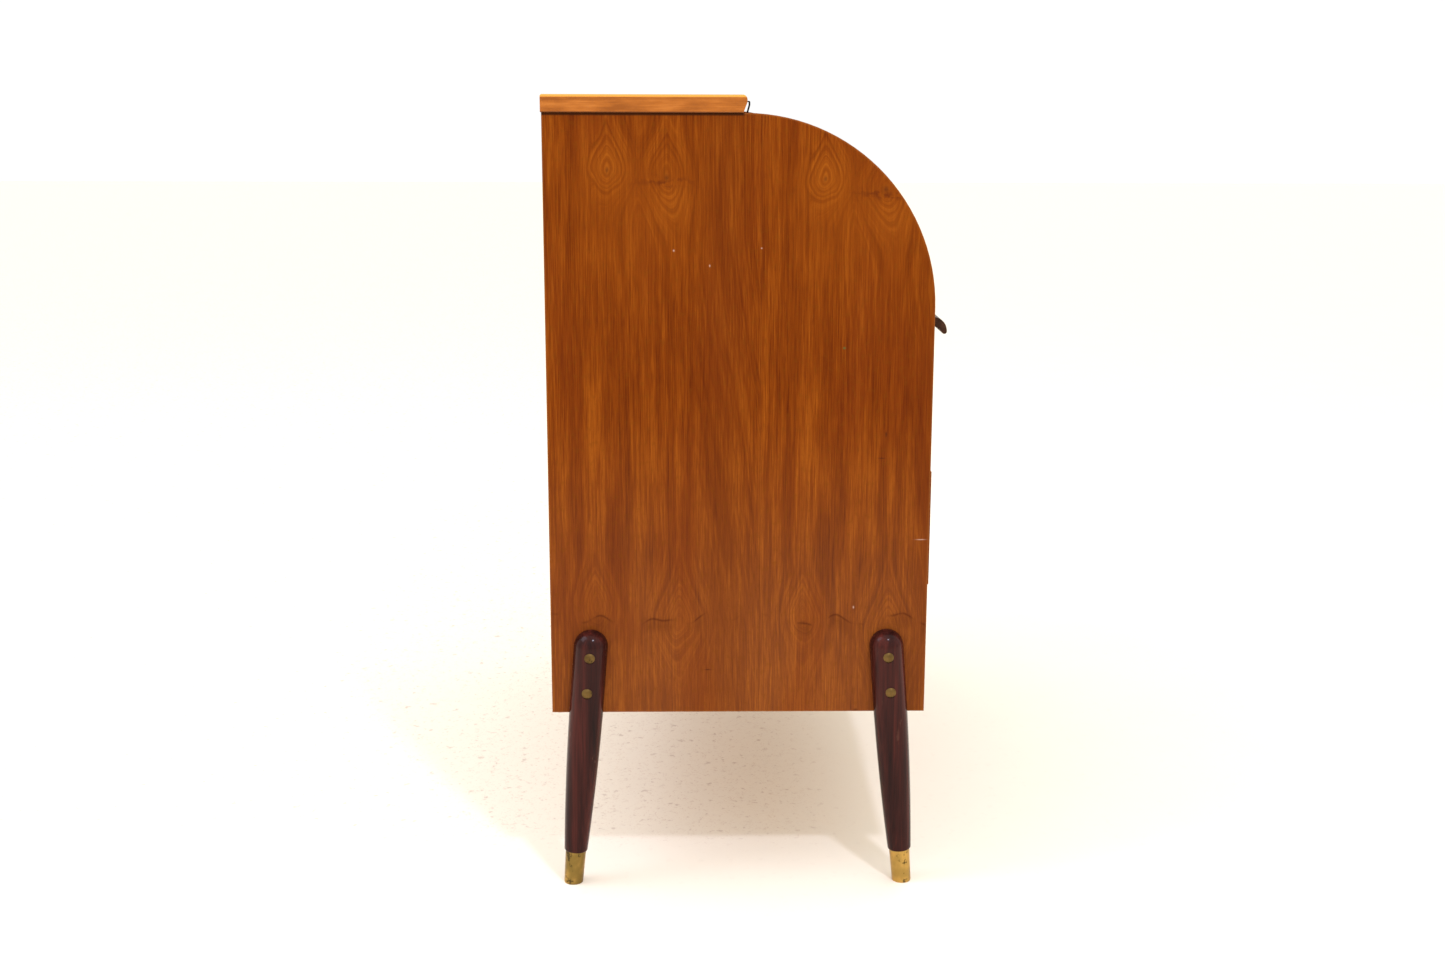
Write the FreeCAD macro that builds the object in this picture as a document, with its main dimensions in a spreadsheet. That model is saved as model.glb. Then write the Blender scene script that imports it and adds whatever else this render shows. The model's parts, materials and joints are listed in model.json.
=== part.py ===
import FreeCAD, Part
import os
import re
import Sketcher
from FreeCAD import Placement, Rotation, Vector

# A roll-top secretary desk: two plywood sides with a quarter-round front corner, a half-depth top,
# a curved lid that rolls back under it, a pull-out writing leaf, three drawers and a nest of
# compartments, on four splayed turned legs with brass ferrules.
# Frame: X across (left is -X), Y depth (the front is -Y), Z up. The origin is on the floor, in
# the middle of the outline. Heights inside the lid are counted from the lid's axis.

DRIVING = {
    "desk_width": (900, "over the two sides"),
    "side_thick": (18, "veneered side panel"),
    "panel_depth": (470, "side panel, back to front"),
    "panel_height": (741, "side panel, bottom to top"),
    "leg_drop": (228, "floor to the bottom of the sides"),
    "arc_radius": (230, "quarter round of the side's front top corner"),
    "edge_round": (1, "softened edge of boards"),
    "top_thick": (21, "top board"),
    "top_depth": (242, "top board, from the back of the sides to its nose"),
    "back_lip": (1, "how far the top board stands out behind the sides"),
    "end_lip": (3, "how far the top board stands out past the sides"),
    "front_reach": (22, "the most that anything stands out in front of the sides"),
    "bottom_thick": (13, "bottom board"),
    "back_thick": (8, "back panel"),
    "rebate": (9, "width of the rebate for the back panel"),
    "lid_radius": (224.5, "outside of the curved lid"),
    "lid_thick": (14, "curved lid"),
    "lid_sweep": (95, "degrees that the curved lid covers"),
    "lid_gap": (1, "between the lid and each side"),
    "tongue_radius": (217.5, "middle of the lid's end tongues"),
    "tongue_thick": (6, "lid tongue"),
    "tongue_long": (7.5, "lid tongue"),
    "groove_wide": (7, "lid groove in the sides"),
    "groove_deep": (8, "lid and leaf grooves in the sides"),
    "rail_height": (32.5, "rail along the lid's lower edge"),
    "rail_thick": (19.5, "rail along the lid's lower edge"),
    "lip_reach": (23.2, "lid handle, out from the rail"),
    "lip_drop": (33.6, "lid handle's lowest line, below the lid's axis"),
    "lid_screw_drop": (17.3, "screws of the lid handle, below the lid's axis"),
    "lid_screw_head": (4, "radius of a lid handle screw's head"),
    "lid_screw_shank": (1.75, "radius of a lid handle screw's shank"),
    "lid_screw_dome": (1.6, "height of a lid handle screw's head"),
    "lid_screw_in": (6, "lid handle screw's length in the handle"),
    "leaf_top": (477, "top of the writing leaf, above the bottom of the sides"),
    "leaf_thick": (20, "writing leaf"),
    "leaf_back": (70, "rear end of the closed writing leaf, from the back of the sides"),
    "leaf_edge_deep": (14, "solid front edge of the leaf"),
    "leaf_edge_drop": (2, "how far that edge hangs below the leaf"),
    "leaf_sunk": (2, "the closed leaf's front edge, behind the front of the sides"),
    "leaf_tongue_long": (125, "tongue along each end of the leaf, from its rear"),
    "leaf_tongue_out": (6.5, "how far the tongue stands out"),
    "leaf_tongue_low": (14, "bottom of the tongue, below the leaf's top"),
    "leaf_tongue_high": (6, "top of the tongue, below the leaf's top"),
    "leaf_play": (0.4, "above and below the tongue in its groove"),
    "leaf_rear_room": (6, "leaf groove behind the closed leaf"),
    "bearer_thick": (12, "strip under each end of the leaf"),
    "bearer_high": (10, "strip under each end of the leaf"),
    "drawer_pitch": (147, "from one drawer to the next"),
    "drawer_gap": (1, "round each drawer front"),
    "front_thick": (18, "drawer front"),
    "drawer_side_thick": (12, "drawer side and back"),
    "drawer_side_high": (115, "drawer side"),
    "drawer_lift": (8, "bottom of a drawer side, above the bottom of its bay"),
    "drawer_long": (420, "drawer side, front to back"),
    "drawer_ply": (5, "drawer bottom"),
    "ply_groove": (4.5, "depth of the groove for a drawer bottom"),
    "ply_lift": (8, "drawer bottom, above the bottom of its sides"),
    "drawer_ajar": (4, "how far the middle drawer stands open"),
    "runner_high": (16, "drawer runner"),
    "runner_thick": (8, "drawer runner"),
    "runner_groove": (7, "depth of the drawer side's groove for its runner"),
    "runner_stop": (15, "drawer side in front of that groove"),
    "pull_drop": (56, "lowest line of a drawer pull, below the top of its bay"),
    "pull_long": (120, "drawer pull"),
    "pull_reach": (18, "drawer pull, out from the drawer front"),
    "leg_radius": (21.4, "leg at its upper part"),
    "leg_foot_radius": (14.9, "leg just above its ferrule"),
    "leg_top": (109, "leg's domed end, above the bottom of the sides"),
    "leg_straight": (30, "where the leg starts to taper, above the bottom of the sides"),
    "leg_inset": (42.6, "leg axis from the panel's edge, at the bottom of the sides"),
    "leg_splay": (0.0838, "slope of the leg axis, towards the desk's ends"),
    "leg_standoff": (2.5, "leg axis outside the face of the side"),
    "ferrule_high": (44, "brass ferrule"),
    "ferrule_radius": (13.1, "ferrule at its upper end"),
    "ferrule_foot_radius": (12.1, "ferrule at the floor"),
    "ferrule_wall": (1.2, "brass ferrule"),
    "screw_low": (32.5, "lower leg screw, above the bottom of the sides"),
    "screw_high": (78.3, "upper leg screw, above the bottom of the sides"),
    "screw_head": (6.5, "radius of a leg screw's head"),
    "screw_shank": (2.5, "radius of a leg screw's shank"),
    "screw_long": (36, "leg screw under its head"),
    "screw_dome": (2.8, "height of a leg screw's head"),
    "screw_sunk": (1.2, "leg screw's seat, under the leg's outermost line"),
    "leg_hole_deep": (14.5, "hole in a side for a leg screw"),
    "nest_radius": (206, "outside of the compartments' curved back"),
    "nest_ply": (4, "curved back of the compartments"),
    "nest_front": (30, "compartments' front edge, behind the lid's axis"),
    "nest_floor": (-24.5, "top of the compartments' deck"),
    "nest_shelf": (40, "underside of the shelves"),
    "nest_roof": (142, "underside of the compartments' top"),
    "nest_board": (8, "boards of the compartments"),
    "shelf_thick": (6, "shelf over the small drawers"),
    "tray_gap": (0.75, "each side of a small drawer"),
    "tray_front": (10, "front of a small drawer"),
    "tray_wall": (5, "wall of a small drawer's tray"),
    "tray_long": (148, "small drawer's tray behind its front"),
    "dowel_radius": (4, "dowels that join the carcass"),
    "dowel_in_side": (12, "dowel's length in a side, from the bottom board"),
    "dowel_in_board": (14, "dowel's length in the bottom board"),
    "dowel_in_edge": (20, "dowel's length in a side, from the top board"),
    "dowel_in_top": (12, "dowel's length in the top board"),
    "tack_radius": (1.5, "shank of a back panel screw"),
    "tack_long": (16, "back panel screw under its head"),
    "tack_head": (3.4, "radius of a back panel screw's head"),
    "tack_dome": (0.95, "height of a back panel screw's head"),
    "stop_wide": (22, "roll stop, a bent spring strip"),
    "stop_thick": (1.4, "roll stop"),
    "stop_reach": (4.2, "roll stop, in front of the top board's nose"),
    "stop_in": (8, "roll stop's tail in its kerf"),
    "stop_inset": (6, "roll stop, from the inside of the sides"),
    "fit": (0.05, "play of a dowel or screw in its hole"),
    "hole_end": (0.5, "depth of a hole past its dowel or screw"),
}

# Places that follow from the driving dimensions.
DERIVED = {
    "half_wide": "desk_width / 2",
    "half_in": "desk_width / 2 - side_thick",
    "y_back": "(panel_depth + front_reach + back_lip) / 2 - back_lip",
    "y_front": "y_back - panel_depth",
    "y_nose": "y_back - top_depth",
    "y_panel": "y_back - back_thick",
    "z_top": "leg_drop + panel_height",
    "axis_y": "y_front + arc_radius",
    "axis_z": "z_top - arc_radius",
    "z_floor": "leg_drop + bottom_thick",
    "z_leaf": "leg_drop + leaf_top",
    "z_deck": "axis_z + nest_floor",
    "nest_inner": "nest_radius - nest_ply",
    "y_nest": "axis_y + nest_front",
    "bay_wide": "(2 * half_in - 5 * nest_board) / 4",
    "rail_face": "axis_y - lid_radius",
    "rebate_face": "y_panel - 0.2",
    "z_stop": "z_top + 13.8",
    "splay_angle": "atan(leg_splay)",
    "seat_x": "half_wide + leg_standoff + leg_radius - screw_sunk",
    "stop_middle": "half_in - stop_inset - stop_wide / 2",
    "y_leaf": "y_front + leaf_sunk",
    "y_leaf_rear": "y_back - leaf_back",
    "drawer_half": "half_in - drawer_gap - 0.5",
    "end_mid": "half_wide - side_thick / 2",
    "tack_x": "half_in + rebate / 2",
}

doc = FreeCAD.newDocument("secretary_desk")
dims = doc.addObject("Spreadsheet::Sheet", "dims")
places = doc.addObject("Spreadsheet::Sheet", "places")
SHEET_OF = dict.fromkeys(DRIVING, "dims.")
SHEET_OF.update(dict.fromkeys(DERIVED, "places."))


def bind(text, home=""):
    """An expression's text with each dimension's name led by its sheet, except the home sheet."""
    def lead(word):
        sheet = SHEET_OF.get(word.group(), "")
        return word.group() if sheet == home else sheet + word.group()
    return re.sub(r"[a-z_]+", lead, str(text))


for row, (alias, (size, meaning)) in enumerate(DRIVING.items(), 1):
    dims.set(f"A{row}", alias)
    dims.set(f"B{row}", str(size))
    dims.set(f"C{row}", meaning)
    dims.setAlias(f"B{row}", alias)
doc.recompute()
for row, (alias, formula) in enumerate(DERIVED.items(), 1):
    places.set(f"A{row}", alias)
    places.set(f"B{row}", "=" + bind(formula, "places."))
    places.setAlias(f"B{row}", alias)
    doc.recompute()


def value(text):
    """The number that an expression gives now."""
    return float(dims.evalExpression(bind(text)))


# ---- Helpers -------------------------------------------------------------------------------

NODES = []


def node(item, name):
    """Marks a finished object as a sub-part, under its own label."""
    item.Label = name
    NODES.append(item)
    return item


def bind_place(item, x, y, z):
    for axis, text in zip("xyz", (x, y, z)):
        item.setExpression("Placement.Base." + axis, bind(text))


def bind_box(box, x, y, z):
    """Sizes and places a box by its (low, high) bounds along X, Y and Z."""
    for side, (low, high) in zip(("Length", "Width", "Height"), (x, y, z)):
        box.setExpression(side, bind(f"({high}) - ({low})"))
    bind_place(box, x[0], y[0], z[0])
    return box


def board(name, x, y, z):
    return bind_box(doc.addObject("Part::Box", name), x, y, z)


def rod(name, radius, length, axis, x, y, z):
    """A round rod that starts at (x, y, z) and runs along +X, +Y or +Z."""
    turn = {"x": Rotation(Vector(0, 1, 0), 90), "y": Rotation(Vector(1, 0, 0), -90), "z": Rotation()}
    item = doc.addObject("Part::Cylinder", name)
    item.Placement = Placement(Vector(), turn[axis])
    item.setExpression("Radius", bind(radius))
    item.setExpression("Height", bind(length))
    bind_place(item, x, y, z)
    return item


def group(name, items):
    compound = doc.addObject("Part::Compound", name)
    compound.Links = items
    return compound


def cut(name, base, tools):
    result = doc.addObject("Part::Cut", name)
    result.Base = base
    result.Tool = group(name + "_tools", tools)
    return result


def copy_of(name, item, x, y, z, turn=Rotation()):
    link = doc.addObject("App::Link", name)
    link.LinkedObject = item
    link.Placement = Placement(Vector(), turn)
    bind_place(link, x, y, z)
    return link


def new_body(name):
    return doc.addObject("PartDesign::Body", name)


def body_box(body, x, y, z, kind="Additive"):
    box = body.newObject(f"PartDesign::{kind}Box", body.Name + "_" + kind.lower())
    return bind_box(box, x, y, z)


def sketch_on(body, role, offset=0):
    """An empty sketch on one of the body's own origin planes, moved along its normal."""
    plane = next(item for item in body.Origin.OriginFeatures if item.Role == role)
    sketch = body.newObject("Sketcher::SketchObject", body.Name + "_sketch")
    sketch.AttachmentSupport = [(plane, "")]
    sketch.MapMode = "FlatFace"
    sketch.setExpression("AttachmentOffset.Base.z", bind(offset))
    return sketch


def fix_point(sketch, geometry, end, x, y):
    for kind, text in (("DistanceX", x), ("DistanceY", y)):
        rule = Sketcher.Constraint(kind, -1, 1, geometry, end, value(text))
        sketch.setExpression(f"Constraints[{sketch.addConstraint(rule)}]", bind(text))


def arc_middle(start, stop, radius):
    """The middle point of the short arc; it turns left if the radius is positive."""
    chord = stop - start
    rise = abs(radius) - (radius * radius - chord.Length ** 2 / 4) ** 0.5
    side = Vector(chord.y, -chord.x, 0).normalize()
    return (start + stop) / 2 + side * (rise if radius > 0 else -rise)


def outline(sketch, corners):
    """A closed outline through (x, y) corners; (x, y, radius) starts an arc instead of a line."""
    points = [Vector(value(corner[0]), value(corner[1]), 0) for corner in corners]
    ends = []
    for index, corner in enumerate(corners):
        start = points[index]
        stop = points[(index + 1) % len(points)]
        if len(corner) == 3:
            middle = arc_middle(start, stop, value(corner[2]))
            run = sketch.addGeometry(Part.Arc(start, middle, stop))
        else:
            run = sketch.addGeometry(Part.LineSegment(start, stop))
        first = 1 if sketch.getPoint(run, 1).distanceToPoint(start) < 1e-6 else 2
        ends.append((run, first, 3 - first))
    for index, (run, first, last) in enumerate(ends):
        following = ends[(index + 1) % len(ends)]
        sketch.addConstraint(Sketcher.Constraint("Coincident", run, last, following[0], following[1]))
        fix_point(sketch, run, first, corners[index][0], corners[index][1])
    for (run, first, last), corner in zip(ends, corners):
        if len(corner) == 3:
            size = str(corner[2]).lstrip("-")
            rule = Sketcher.Constraint("Radius", run, value(size))
            sketch.setExpression(f"Constraints[{sketch.addConstraint(rule)}]", bind(size))


def circles(sketch, radius, centres):
    for x, y in centres:
        ring = Part.Circle(Vector(value(x), value(y), 0), Vector(0, 0, 1), value(radius))
        run = sketch.addGeometry(ring)
        rule = Sketcher.Constraint("Radius", run, value(radius))
        sketch.setExpression(f"Constraints[{sketch.addConstraint(rule)}]", bind(radius))
        fix_point(sketch, run, 3, x, y)


def pad(body, sketch, length, middle=False, backwards=False):
    feature = body.newObject("PartDesign::Pad", body.Name + "_pad")
    feature.Profile = sketch
    feature.SideType = "Symmetric" if middle else "One side"
    feature.Reversed = backwards
    feature.setExpression("Length", bind(length))
    doc.recompute()
    return feature


def pocket(body, sketch, depth, backwards=False):
    doc.recompute()
    before = body.Shape.Volume
    feature = body.newObject("PartDesign::Pocket", body.Name + "_pocket")
    feature.Profile = sketch
    feature.Reversed = backwards
    feature.setExpression("Length", bind(depth))
    doc.recompute()
    if body.Shape.Volume > before - 1:
        raise RuntimeError(body.Name + ": a pocket cuts nothing")
    return feature


def revolve(body, sketch):
    feature = body.newObject("PartDesign::Revolution", body.Name + "_turned")
    feature.Profile = sketch
    feature.ReferenceAxis = (sketch, ["V_Axis"])
    feature.Angle = 360
    doc.recompute()
    return feature


def round_edges(body, radius, wanted):
    """Rounds the edges of the body whose points all pass the test."""
    doc.recompute()
    base = body.Tip
    names = [f"Edge{index}" for index, edge in enumerate(base.Shape.Edges, 1)
             if all(wanted(vertex.Point) for vertex in edge.Vertexes)]
    feature = body.newObject("PartDesign::Fillet", body.Name + "_round")
    feature.Base = (base, names)
    feature.setExpression("Radius", bind(radius))
    doc.recompute()
    return feature


def on_arc(radius, angle):
    """The point at a radius from the lid's axis; 0 degrees is level to the front, 90 is up."""
    return f"axis_y - ({radius}) * cos({angle})", f"axis_z + ({radius}) * sin({angle})"


def ring_sector(inner, outer, start, stop):
    """Corners of a band round the lid's axis, its arcs split in two at the middle."""
    half = f"(({start}) + ({stop})) / 2"
    return [
        (*on_arc(outer, start), f"-({outer})"),
        (*on_arc(outer, half), f"-({outer})"),
        on_arc(outer, stop),
        (*on_arc(inner, stop), inner),
        (*on_arc(inner, half), inner),
        on_arc(inner, start),
    ]


def on_side(hand, inner, outer):
    """The (low, high) bounds along X between two distances out from the middle of the desk."""
    if hand > 0:
        return inner, outer
    return f"-({outer})", f"-({inner})"


def arc_depth(radius, height):
    """How far behind the lid's axis an arc stands at a height above it."""
    return f"axis_y + sqrt(({radius})^2 - ({height})^2)"


# ---- Carcass -------------------------------------------------------------------------------

LEG_SPOTS = [("rear", "y_back", -1), ("front", "y_front", 1)]
SIDES = [("left", -1), ("right", 1)]
SCREW_HEIGHTS = ["screw_low", "screw_high"]
TOP_DOWELS = [30, 95, 155]
BOTTOM_DOWELS = [60, 180, 300, 420]
TACK_HEIGHTS = [32, 180, 340, 500, 620, 705]
LID_SCREWS = [-390, -195, 0, 195, 390]
DRAWERS = {1: "0", 2: "drawer_ajar", 3: "0"}


def leg_axis_y(edge, inward, height):
    """The leg's axis at a height above the bottom of the sides."""
    return f"{edge} + {inward} * (leg_inset + leg_splay * ({height}))"


def side_panel(name, hand):
    body = new_body(name)
    inside = f"{hand} * half_in"
    shape = sketch_on(body, "YZ_Plane", inside)
    outline(shape, [
        ("y_front", "leg_drop"),
        ("y_back", "leg_drop"),
        ("y_back", "z_top"),
        ("axis_y", "z_top", "arc_radius"),
        ("y_front", "axis_z"),
    ])
    pad(body, shape, "side_thick", backwards=hand < 0)
    limit = value("half_wide") - 0.01
    round_edges(body, "edge_round", lambda point: abs(point.x) > limit)

    rebate = sketch_on(body, "YZ_Plane", inside)
    outline(rebate, [("rebate_face", "leg_drop - 1"), ("y_back + 1", "leg_drop - 1"),
                     ("y_back + 1", "z_top + 1"), ("rebate_face", "z_top + 1")])
    pocket(body, rebate, "rebate", backwards=hand > 0)

    lid_groove = sketch_on(body, "YZ_Plane", inside)
    outline(lid_groove, ring_sector("tongue_radius - groove_wide / 2",
                                    "tongue_radius + groove_wide / 2", "-0.5", "187.5"))
    pocket(body, lid_groove, "groove_deep", backwards=hand > 0)

    leaf_groove = sketch_on(body, "YZ_Plane", inside)
    low, high = "z_leaf - leaf_tongue_low - leaf_play", "z_leaf - leaf_tongue_high + leaf_play"
    front, rear = "y_front + 20", "y_leaf_rear + leaf_rear_room"
    outline(leaf_groove, [(front, low), (rear, low), (rear, high), (front, high)])
    pocket(body, leaf_groove, "groove_deep", backwards=hand > 0)

    leg_holes = sketch_on(body, "YZ_Plane", f"{hand} * half_wide")
    circles(leg_holes, "screw_shank + fit", [
        (leg_axis_y(edge, inward, height), f"leg_drop + {height}")
        for _, edge, inward in LEG_SPOTS for height in SCREW_HEIGHTS])
    pocket(body, leg_holes, "leg_hole_deep", backwards=hand < 0)

    low_dowels = sketch_on(body, "YZ_Plane", inside)
    circles(low_dowels, "dowel_radius + fit", [
        (f"y_back - {spot}", "leg_drop + bottom_thick / 2") for spot in BOTTOM_DOWELS])
    pocket(body, low_dowels, "dowel_in_side + hole_end", backwards=hand > 0)

    top_dowels = sketch_on(body, "XY_Plane", "z_top")
    circles(top_dowels, "dowel_radius + fit", [
        (f"{hand} * end_mid", f"y_back - {spot}") for spot in TOP_DOWELS])
    pocket(body, top_dowels, "dowel_in_edge + hole_end")

    tack_holes = sketch_on(body, "XZ_Plane", "-rebate_face")
    circles(tack_holes, "tack_radius + fit", [
        (f"{hand} * tack_x", f"leg_drop + {height}") for height in TACK_HEIGHTS])
    pocket(body, tack_holes, "tack_long - back_thick + hole_end", backwards=True)
    return node(body, name)


def top_board():
    body = new_body("top_board")
    shape = sketch_on(body, "YZ_Plane")
    outline(shape, [
        ("y_nose + 4.7", "z_top"),
        ("y_back + back_lip", "z_top"),
        ("y_back + back_lip", "z_top + top_thick"),
        ("y_nose + 4.7", "z_top + top_thick", "6"),
        ("y_nose", "z_top + 14.5", "9"),
        ("y_nose + 0.8", "z_top + 10.3"),
    ])
    pad(body, shape, "desk_width + 2 * end_lip", middle=True)
    end = value("half_wide + end_lip") - 0.01
    crest = value("z_top + top_thick") - 0.01
    round_edges(body, "2.5", lambda point: abs(point.x) > end and point.z > crest)
    low = value("z_top") + 0.01
    round_edges(body, "edge_round", lambda point: abs(point.x) > end and point.z < low)
    for _, hand in SIDES:
        kerf_half = "stop_wide / 2 + fit"
        body_box(body, (f"{hand} * stop_middle - ({kerf_half})", f"{hand} * stop_middle + {kerf_half}"),
                 ("y_nose - 1", "y_nose + stop_in + fit"),
                 ("z_stop - stop_thick - fit", "z_stop + fit"), "Subtractive")
    holes = sketch_on(body, "XY_Plane", "z_top")
    circles(holes, "dowel_radius + fit", [
        (f"{hand} * end_mid", f"y_back - {spot}") for _, hand in SIDES for spot in TOP_DOWELS])
    pocket(body, holes, "dowel_in_top + hole_end", backwards=True)
    return node(body, "top_board")


def roll_stops():
    """Two spring strips, each with a tail in a kerf of the top board's nose."""
    strips = []
    for side, hand in SIDES:
        body = new_body("roll_stop_" + side)
        shape = sketch_on(body, "YZ_Plane", f"{hand} * stop_middle")
        face = "y_nose - stop_reach"
        outline(shape, [
            ("y_nose + stop_in", "z_stop - stop_thick"),
            ("y_nose + stop_in", "z_stop"),
            (f"{face} + 1.6", "z_stop", "1.6"),
            (face, "z_stop - 1.6"),
            (face, "z_stop - 5"),
            (f"{face} + 3.2", "z_top - 2.4"),
            (f"{face} + 3.2 + stop_thick", "z_top - 2.1"),
            (f"{face} + stop_thick", "z_stop - 4.8"),
            (f"{face} + stop_thick", "z_stop - stop_thick"),
        ])
        pad(body, shape, "stop_wide", middle=True)
        strips.append(body)
    return node(group("roll_stops", strips), "roll_stops")


def bottom_board():
    body = new_body("bottom_board")
    body_box(body, ("-half_in", "half_in"), ("y_front", "y_panel"), ("leg_drop", "z_floor"))
    for _, hand in SIDES:
        holes = sketch_on(body, "YZ_Plane", f"{hand} * half_in")
        circles(holes, "dowel_radius + fit", [
            (f"y_back - {spot}", "leg_drop + bottom_thick / 2") for spot in BOTTOM_DOWELS])
        pocket(body, holes, "dowel_in_board + hole_end", backwards=hand < 0)
    return node(body, "bottom_board")


def back_panel():
    body = new_body("back_panel")
    body_box(body, ("0.5 - half_in - rebate", "half_in + rebate - 0.5"), ("y_panel", "y_back"),
             ("leg_drop", "z_top"))
    holes = sketch_on(body, "XZ_Plane", "-y_back")
    circles(holes, "tack_radius + fit", [
        (f"{hand} * tack_x", f"leg_drop + {height}") for _, hand in SIDES for height in TACK_HEIGHTS])
    pocket(body, holes, "back_thick + 1", backwards=True)
    return node(body, "back_panel")


def turned_screw(name, head, shank, long, dome):
    """A screw along +Z with its head's seat at z = 0 and a domed, slotted head below it."""
    body = new_body(name)
    shape = sketch_on(body, "XZ_Plane")
    outline(shape, [
        ("0", f"-({dome})", f"(({head})^2 + ({dome} - 0.4)^2) / (2 * ({dome} - 0.4))"),
        (head, "-0.4"),
        (head, "0"),
        (shank, "0"),
        (shank, long),
        ("0", long),
    ])
    revolve(body, shape)
    body_box(body, (f"-({head}) - 1", f"({head}) + 1"), ("-0.5", "0.5"),
             (f"-({dome}) - 1", f"-({dome}) + 0.9"), "Subtractive")
    return body


def leg_screws():
    screw = turned_screw("leg_screw", "screw_head", "screw_shank", "screw_long", "screw_dome")
    copies = []
    for side, hand in SIDES:
        turn = Rotation(Vector(0, 1, 0), -90 * hand)
        for end, edge, inward in LEG_SPOTS:
            for height in SCREW_HEIGHTS:
                copies.append(copy_of(f"leg_screw_{side}_{end}_{height}", screw, f"{hand} * seat_x",
                                      leg_axis_y(edge, inward, height), f"leg_drop + {height}", turn))
    return node(group("leg_screws", copies), "leg_screws")


def back_screws():
    screw = turned_screw("back_screw", "tack_head", "tack_radius", "tack_long", "tack_dome")
    turn = Rotation(Vector(1, 0, 0), 90)
    copies = [copy_of(f"back_screw_{side}_{height}", screw, f"{hand} * tack_x",
                      "y_back", f"leg_drop + {height}", turn)
              for side, hand in SIDES for height in TACK_HEIGHTS]
    return node(group("back_screws", copies), "back_screws")


def carcass_dowels():
    pins = []
    for side, hand in SIDES:
        start, _ = on_side(hand, "half_in - dowel_in_board", "half_in + dowel_in_side")
        for spot in BOTTOM_DOWELS:
            pins.append(rod(f"low_dowel_{side}_{spot}", "dowel_radius", "dowel_in_board + dowel_in_side",
                            "x", start, f"y_back - {spot}", "leg_drop + bottom_thick / 2"))
        for spot in TOP_DOWELS:
            pins.append(rod(f"top_dowel_{side}_{spot}", "dowel_radius", "dowel_in_edge + dowel_in_top",
                            "z", f"{hand} * end_mid", f"y_back - {spot}",
                            "z_top - dowel_in_edge"))
    return node(group("carcass_dowels", pins), "carcass_dowels")


def leg(side, hand, end, edge, inward):
    """A turned leg: domed on top, cut flat where it laps the side, with a tenon in its ferrule."""
    name = f"leg_{end}_{side}"
    body = new_body(name + "_blank")
    shape = sketch_on(body, "XZ_Plane")
    drop = "(leg_radius - leg_foot_radius)"
    run = "(leg_drop + leg_straight - ferrule_high - 2)"
    tip = "(leg_drop + leg_top) / cos(splay_angle)"
    outline(shape, [
        ("0", "ferrule_wall + 1.6"),
        ("ferrule_foot_radius - ferrule_wall - fit", "ferrule_wall + 1.6"),
        ("ferrule_radius - ferrule_wall - fit", "ferrule_high"),
        ("leg_foot_radius - 2", "ferrule_high", "2"),
        ("leg_foot_radius", "ferrule_high + 2", f"({run}^2 + {drop}^2) / (2 * {drop})"),
        ("leg_radius", "leg_drop + leg_straight"),
        ("leg_radius", f"{tip} - leg_radius", "leg_radius"),
        ("0", tip),
    ])
    revolve(body, shape)
    stand_on_axis(body, hand, edge, inward)
    lap = board(name + "_lap", on_side(hand, "half_wide - 30", "half_wide"), ("y_front - 10", "y_back + 10"),
                ("leg_drop", "leg_drop + 2 * leg_top"))
    tools = [lap]
    for height in SCREW_HEIGHTS:
        y, z = leg_axis_y(edge, inward, height), f"leg_drop + {height}"
        start, _ = on_side(hand, "half_wide - 5", "half_wide - 5 + screw_long")
        tools.append(rod(f"{name}_hole_{height}", "screw_shank + fit", "screw_long", "x", start, y, z))
        start, _ = on_side(hand, "seat_x", "seat_x + 10")
        tools.append(rod(f"{name}_seat_{height}", "screw_head + 0.2", "10", "x", start, y, z))
    return node(cut(name, body, tools), name)


def stand_on_axis(body, hand, edge, inward):
    """Tilts a turned body onto the leg's axis; its own origin is where the axis meets the floor."""
    body.Placement = Placement(Vector(), Rotation(Vector(1, 0, 0), -inward * value("splay_angle")))
    bind_place(body, f"{hand} * (half_wide + leg_standoff)", leg_axis_y(edge, inward, "-leg_drop"), "0")


def ferrule(side, hand, end, edge, inward):
    name = f"ferrule_{end}_{side}"
    body = new_body(name + "_blank")
    shape = sketch_on(body, "XZ_Plane")
    outline(shape, [
        ("0", "-1.2"),
        ("ferrule_foot_radius - 2", "-1.2", "2"),
        ("ferrule_foot_radius", "0.8"),
        ("ferrule_radius", "ferrule_high"),
        ("ferrule_radius - ferrule_wall", "ferrule_high"),
        ("ferrule_foot_radius - ferrule_wall", "ferrule_wall + 1.5"),
        ("0", "ferrule_wall + 1.5"),
    ])
    revolve(body, shape)
    stand_on_axis(body, hand, edge, inward)
    floor = board(name + "_floor", ("-half_wide - 50", "half_wide + 50"),
                  ("y_front - 20", "y_back + 20"), ("-10", "0"))
    return node(cut(name, body, [floor]), name)


for side_name, side_hand in SIDES:
    side_panel("side_" + side_name, side_hand)
top_board()
roll_stops()
bottom_board()
back_panel()
back_screws()
carcass_dowels()
for side_name, side_hand in SIDES:
    for leg_end, panel_edge, toward in LEG_SPOTS:
        leg(side_name, side_hand, leg_end, panel_edge, toward)
        ferrule(side_name, side_hand, leg_end, panel_edge, toward)
leg_screws()

# ---- Compartments --------------------------------------------------------------------------


def nest_upright(name, low_x):
    """An upright whose rear edge follows the curved back."""
    body = new_body(name)
    shape = sketch_on(body, "YZ_Plane", low_x)
    outline(shape, [
        ("y_nest", "z_deck"),
        (arc_depth("nest_inner", "nest_floor"), "z_deck", "nest_inner"),
        (arc_depth("nest_inner", "nest_roof"), "axis_z + nest_roof"),
        ("y_nest", "axis_z + nest_roof"),
    ])
    pad(body, shape, "nest_board")
    return body


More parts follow.
